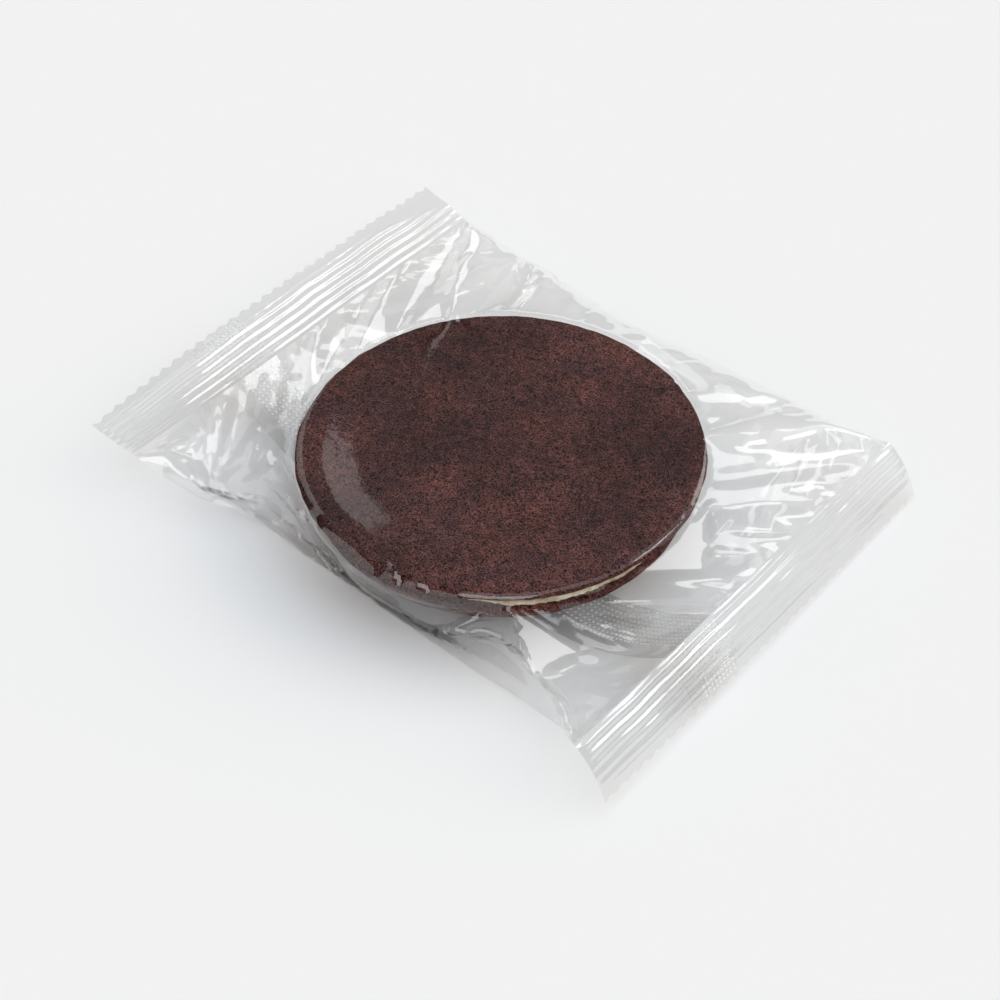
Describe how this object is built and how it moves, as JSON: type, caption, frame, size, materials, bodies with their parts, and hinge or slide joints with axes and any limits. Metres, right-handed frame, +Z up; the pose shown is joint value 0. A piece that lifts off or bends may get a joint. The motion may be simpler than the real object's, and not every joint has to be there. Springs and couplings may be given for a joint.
{
  "type": "wrapped chocolate sandwich cookie",
  "caption": "Round chocolate sandwich cookie sealed in a clear flow-wrap pillow pack, with ribbed zigzag-cut end seals and a flat back fin seal",
  "frame": {"origin": "middle of the pack's footprint, on the table it lies on", "axes": "+X runs along the pack from the raised end seal to the drooping one, -Y is the side the cookie has slid towards, +Z is up through the upper biscuit"},
  "size_m": [0.124, 0.0932, 0.0183],
  "materials": {
    "film": "clear glossy plastic film, thin, ribbed at the end seals",
    "biscuit": "dark chocolate biscuit, matt, finely pored and slightly uneven at its rim",
    "cream_filling": "pale beige cream filling, matt and soft"
  },
  "bodies": {
    "root": {"sealed_pack": "film"}
  },
  "joints": []
}
